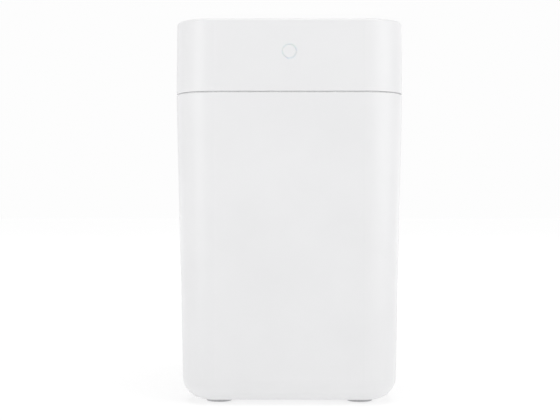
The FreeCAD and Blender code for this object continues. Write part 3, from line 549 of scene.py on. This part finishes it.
def make_motor_cans():
    """Drawn steel cans with rolled ends and crimp grooves; the larger has a cap and solder tags."""
    x0, y, z = 28.0, 119.82, 310.0
    bore = 2.06
    made = Mesh()
    made.lathe([(bore, 0), (4.4, 0), (4.6, 0.15), (11.2, 0.15), (11.8, 0.5), (12.0, 1.1),
                (12.0, 7.2), (11.7, 7.4), (11.7, 7.9), (12.0, 8.1), (12.0, 17.0), (11.8, 17.5),
                (11.5, 17.8), (11.5, 20.4), (11.3, 20.7), (11.3, 21.2), (11.5, 21.5), (11.5, 35.2),
                (11.2, 35.8), (10.6, 36.2), (bore, 36.2), (bore, 9)],
               (x0, y, z), "X", wrap=True, steps=56)
    made.finish("lift_motor_can", "base", "motor_can", ("lift_motor",))
    made = Mesh()
    made.lathe([(1.0, 36.3), (10.4, 36.3), (10.6, 36.5), (10.6, 37.4), (10.2, 37.9), (5.2, 37.9),
                (4.8, 38.2), (4.8, 40.0), (4.4, 40.4), (1.0, 40.4)],
               (x0, y, z), "X", wrap=True, steps=48)
    tags = (y - 7.6, y + 7.6)
    for tag in tags:
        made.block((x0 + 37.8, tag - 1.6, z - 2.0), (x0 + 39.2, tag + 1.6, z + 2.0), 0.25)
    made.finish("lift_motor_cap", "base", "dark_plastic")
    made = Mesh()
    for tag in tags:
        made.block((x0 + 39.1, tag - 1.1, z - 0.25), (x0 + 40.4, tag + 1.1, z + 0.25), 0.08)
    made.finish("lift_motor_tags", "base", "steel")

    y, z = 112.0, 341.5
    made = Mesh()
    made.lathe([(0.6, -59.5), (2.2, -59.5), (2.4, -59.3), (2.4, -58.6), (6.7, -58.6), (7.2, -58.3),
                (7.5, -57.8), (7.5, -36.4), (7.3, -36.2), (7.3, -35.8), (7.5, -35.6), (7.5, -20.2),
                (7.2, -20.0), (7.2, -19.6), (7.5, -19.4), (7.5, -4.6), (7.3, -4.2), (3.9, -4.1),
                (3.9, -2.1), (3.7, -1.9), (1.06, -1.9), (1.06, -7.8), (0.6, -7.8)],
               (0, y, z), "X", wrap=True, steps=48)
    made.finish("seal_motor_can", "carriage", "motor_can", ("seal_motor",))


def make_power_parts():
    """Cells in shrunk sleeves with turned-in ends, spot-welded links between them."""
    sleeves, ends, links = Mesh(), Mesh(), Mesh()
    heights = (95.0, 113.6, 132.2)
    for y in (115.5, 134.1):
        for z in heights:
            sleeves.lathe([(7.4, -32.2), (7.9, -32.3), (8.6, -32.2), (9.0, -31.8), (9.08, -31.2),
                           (9.08, 31.2), (9.0, 31.8), (8.6, 32.2), (7.9, 32.3), (7.4, 32.2),
                           (7.4, 31.6), (7.4, -31.6)], (0, y, z), "X", wrap=True, steps=48)
            ends.lathe([(7.3, -32.0), (7.3, 30.8), (6.6, 31.2), (6.4, 31.6), (4.2, 31.6),
                        (3.9, 31.4), (3.6, 31.9), (3.4, 32.15), (0.5, 32.15), (0.5, -32.0)],
                       (0, y, z), "X", wrap=True, steps=40)
    for x0, x1 in ((-32.45, -32.1), (32.2, 32.45)):
        for z in heights:
            links.block((x0, 112.0, z - 2.6), (x1, 137.6, z + 2.6), 0.1)
    links.block((32.2, 112.5, 96.0), (32.45, 117.5, 131.0), 0.1)
    sleeves.finish("cell_sleeves", "base", "battery_wrap", ("battery_cells",))
    ends.finish("cell_ends", "base", "steel")
    links.finish("cell_links", "base", "steel")


# ---------------------------------------------------------------- circuit boards
def chip(body, metal, x0, x1, y0, y1, height, legs):
    """A moulded package with gull-wing legs on its long sides."""
    body.block((x0, y0, 0.15), (x1, y1, height), 0.18)
    for i in range(legs):
        x = x0 + (x1 - x0) * (i + 0.5) / legs
        for edge, out in ((y0, -1), (y1, 1)):
            leg = [(edge, 0.62 * height), (edge + out * 0.5, 0.62 * height),
                   (edge + out * 0.75, 0.12), (edge + out * 1.3, 0.12), (edge + out * 1.3, 0.0),
                   (edge + out * 0.65, 0.0), (edge + out * 0.4, 0.5 * height), (edge, 0.5 * height)]
            metal.bar(leg, x - 0.2, x + 0.2)


def header(body, metal, x0, x1, y0, y1, height, pins):
    """A shrouded socket with pins in a row along y."""
    walls = ((x0, x0 + 1, y0, y1), (x1 - 1, x1, y0, y1), (x0, x1, y0, y0 + 1), (x0, x1, y1 - 1, y1))
    for a, b, c, d in walls:
        body.block((a, c, 0), (b, d, height), 0.15)
    body.block((x0 + 0.5, y0 + 0.5, 0), (x1 - 0.5, y1 - 0.5, 1.4), 0.1)
    x = (x0 + x1) / 2
    for i in range(pins):
        y = y0 + 1.6 + (y1 - y0 - 3.2) * i / (pins - 1)
        metal.block((x - 0.32, y - 0.32, 1.2), (x + 0.32, y + 0.32, height - 0.8), 0.12)


def can(body, metal, x, y, r, height):
    """An electrolytic capacitor: a sleeve with a crimped neck, a bare top with a raised cross."""
    body.lathe([(0.4, 0.0), (r, 0.0), (r, 1.0), (r - 0.35, 1.5), (r, 2.0), (r, height - 0.5),
                (r - 0.4, height - 0.1), (r - 0.9, height - 0.1), (r - 0.9, height - 0.4),
                (0.4, height - 0.4)], (x, y, 0), wrap=True, steps=36)
    metal.lathe([(0.3, height - 0.4), (r - 0.95, height - 0.4), (r - 1.0, height - 0.15),
                 (0.3, height - 0.15)], (x, y, 0), wrap=True, steps=36)
    for dx, dy in ((r * 0.6, 0.15), (0.15, r * 0.6)):
        metal.block((x - dx, y - dy, height - 0.16), (x + dx, y + dy, height - 0.06), 0.03)


def choke(body, metal, x0, x1, y0, y1, height):
    """A shielded choke: a ferrite case with a drum core sunk in it."""
    cx, cy, r = (x0 + x1) / 2, (y0 + y1) / 2, min(x1 - x0, y1 - y0) * 0.36
    body.block((x0, y0, 0), (x1, y1, height - 0.5), 0.6)
    body.lathe([(0.5, height - 0.7), (r, height - 0.7), (r, height - 0.2), (r - 0.3, height),
                (0.5, height)], (cx, cy, 0), wrap=True, steps=36)
    for x in (x0 - 0.1, x1 - 1.3):
        metal.block((x, cy - 1.6, 0), (x + 1.4, cy + 1.6, 1.1), 0.12)


def small_parts(body, metal, draw, spots):
    """Chip resistors and capacitors with metal ends, in short rows."""
    for x, y, count in spots:
        for i in range(count):
            px = x + 2.4 * i + draw.uniform(-0.1, 0.1)
            py = y + draw.uniform(-0.1, 0.1)
            half = draw.choice((0.8, 1.0))
            body.block((px - 0.6, py - half + 0.25, 0), (px + 0.6, py + half - 0.25, 0.55), 0.08)
            for side in (-1, 1):
                a, b = sorted((py + side * half, py + side * (half - 0.3)))
                metal.block((px - 0.62, a, 0), (px + 0.62, b, 0.6), 0.08)


def make_boards():
    """The parts on the control board in the head and on the charging board in the base."""
    draw = random.Random(23)
    level = Matrix.Translation((0, 0, 357.6))
    body, metal = Mesh(level), Mesh(level)
    chip(body, metal, -20, -8, 125.4, 134.6, 1.4, 14)
    chip(body, metal, 4, 12, 127.4, 130.6, 1.5, 4)
    header(body, metal, -50, -40, 119, 127, 6, 4)
    header(body, metal, -50, -40, 130, 138, 6, 4)
    choke(body, metal, 34, 44, 120, 132, 4.5)
    for y in (134, 123):
        can(body, metal, 24, y, 4, 9)
    rows = ((-36, 119, 6), (-36, 133, 5), (-5, 136, 3), (-5, 121, 3), (5, 135, 4), (14, 118, 2))
    small_parts(body, metal, draw, rows)
    body.finish("control_packages", "head", "component", ("control_board_parts",))
    metal.finish("control_leads", "head", "steel")
    # the charging board stands upright, its parts face the front
    upright = Matrix(((1, 0, 0, 0), (0, 0, -1, 120), (0, 1, 0, 0), (0, 0, 0, 1)))
    body, metal = Mesh(upright), Mesh(upright)
    choke(body, metal, -30, -12, 182, 204, 12)
    header(body, metal, 6, 22, 180, 196, 8, 5)
    chip(body, metal, 28, 44, 215.4, 236.6, 5.5, 8)
    for x in (-34, -18):
        can(body, metal, x, 232, 6, 14)
    rows = ((-6, 228, 8), (-6, 222, 6), (-38, 214, 7), (28, 204, 6), (26, 198, 7), (-6, 212, 5))
    small_parts(body, metal, draw, rows)
    body.finish("charging_packages", "base", "component", ("charging_board_parts",))
    metal.finish("charging_leads", "base", "steel")


def make_heater_rail():
    """Extruded aluminium block with cooling grooves below and a slot for the strip."""
    (x0, y0, z0), (x1, y1, z1) = ([v * 1000 for v in corner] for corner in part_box("heater_block"))
    section = [(y0, z0 + 0.4), (y0 + 0.4, z0)]
    for i in range(4):
        y = y0 + 1.4 + i * 2.2
        section += [(y, z0), (y, z0 + 1.6), (y + 1.0, z0 + 1.6), (y + 1.0, z0)]
    section += [(y1 - 0.3, z0), (y1, z0 + 0.3), (y1, z1 - 0.6), (y1 - 0.6, z1)]
    for i in range(3):
        y = y1 - 2.4 - i * 2.6
        section += [(y, z1), (y - 0.2, z1 - 1.2), (y - 1.0, z1 - 1.2), (y - 1.2, z1)]
    section += [(y0 + 0.5, z1), (y0, z1 - 0.5)]
    made = Mesh()
    made.bar(section, x0 + 0.1, x1 - 0.1)
    made.finish("heater_rail", "head", "aluminium", ("heater_block",))


# ---------------------------------------------------------------- studio
CAMERA_PLACE = (0.0, -1.394, 0.201)
CAMERA_TURN = (90.12, 0.0, 0.449)
CAMERA_LENS = 77.1
WORLD_FILL, WORLD_SEEN = 0.335, 0.982
FLOOR_HALF = 40.0
FLOOR_NEAR, FLOOR_FAR = 0.6, 3.0           # metres from the middle, between which the lift grows
FLOOR_LIFT_NEAR, FLOOR_LIFT_FAR = 0.605, 0.84
AIM = (0, 0, 0.22)
# name: place, width and height, power in watts
SOFTBOXES = {
    "left_front": ((-1.35, -1.25, 0.7), (0.9, 1.4), 9.0),
    "left_side": ((-1.8, -0.3, 0.7), (1.0, 1.4), 1.6),
    "left_back": ((-1.5, 1.5, 0.7), (1.2, 1.4), 3.0),
    "right_front": ((1.35, -1.25, 0.7), (0.9, 1.4), 4.6),
    "right_side": ((1.65, -0.65, 0.7), (1.0, 1.4), 6.9),
    "right_back": ((1.5, 1.5, 0.7), (1.2, 1.4), 3.5),
    "back": ((0.2, 2.3, 0.8), (1.4, 1.4), 8.0),
    "top": ((0, -0.3, 5.0), (4.0, 4.0), 130.0),
}


def make_camera():
    data = bpy.data.cameras.new("camera")
    data.lens = CAMERA_LENS
    data.sensor_width = 36.0
    data.sensor_fit = "HORIZONTAL"
    camera = bpy.data.objects.new("camera", data)
    camera.location = CAMERA_PLACE
    camera.rotation_euler = [math.radians(a) for a in CAMERA_TURN]
    bpy.context.scene.collection.objects.link(camera)
    bpy.context.scene.camera = camera


def make_softbox(name, place, size, power):
    data = bpy.data.lights.new(name, "AREA")
    data.shape = "RECTANGLE"
    data.size, data.size_y = size
    data.energy = power
    light = bpy.data.objects.new(name, data)
    light.location = place
    light.rotation_euler = (Vector(AIM) - Vector(place)).to_track_quat("-Z", "Y").to_euler()
    bpy.context.scene.collection.objects.link(light)


def make_world(fill, backdrop):
    """White surroundings: fill lights the object, backdrop is how bright they look."""
    world = bpy.data.worlds.new("studio")
    world.use_nodes = True
    tree = world.node_tree
    background = tree.nodes["Background"]
    background.inputs["Color"].default_value = (1, 1, 1, 1)
    seen = tree.nodes.new("ShaderNodeLightPath")
    level = tree.nodes.new("ShaderNodeMapRange")
    level.inputs["To Min"].default_value = fill
    level.inputs["To Max"].default_value = backdrop
    tree.links.new(seen.outputs["Is Camera Ray"], level.inputs["Value"])
    tree.links.new(level.outputs[0], background.inputs["Strength"])
    bpy.context.scene.world = world


def make_floor():
    """A wide pale floor."""
    mesh = bpy.data.meshes.new("floor")
    corners = [(x * FLOOR_HALF, y * FLOOR_HALF, 0) for x, y in ((-1, -1), (1, -1), (1, 1), (-1, 1))]
    mesh.from_pydata(corners, [], [(0, 1, 2, 3)])
    floor = bpy.data.objects.new("floor", mesh)
    bpy.context.scene.collection.objects.link(floor)
    s = Shader("floor_paint")
    tone = s.span(s.noise(0.8, 2.0), 0.0, 1.0)
    s.color(s.mix(tone, (0.37, 0.37, 0.37), (0.39, 0.39, 0.39)))
    s.roughness(s.span(s.noise(0.05, 2.0), 0.75, 0.85))
    # the far floor is lifted to the backdrop's white, the near floor keeps its contact shade
    apart = s.node("ShaderNodeVectorMath", operation="LENGTH")
    s.link(s.coords, apart.inputs[0])
    lift = s.node("ShaderNodeMapRange", interpolation_type="SMOOTHSTEP")
    for key, value in (("From Min", FLOOR_NEAR), ("From Max", FLOOR_FAR),
                       ("To Min", FLOOR_LIFT_NEAR), ("To Max", FLOOR_LIFT_FAR)):
        lift.inputs[key].default_value = value
    s.link(apart.outputs["Value"], lift.inputs["Value"])
    s.set(Emission_Color=(1, 1, 1, 1))
    s.link(lift.outputs[0], s.surface.inputs["Emission Strength"])
    mesh.materials.append(s.material)


make_camera()
make_world(WORLD_FILL, WORLD_SEEN)
make_floor()
for box_name, (box_place, box_size, box_power) in SOFTBOXES.items():
    make_softbox(box_name, box_place, box_size, box_power)
bpy.context.scene.view_settings.view_transform = "Standard"
dress_nodes()
make_bag_film()
make_rim_bead()
make_feet()
make_screws()
make_motor_cans()
make_power_parts()
make_boards()
make_heater_rail()
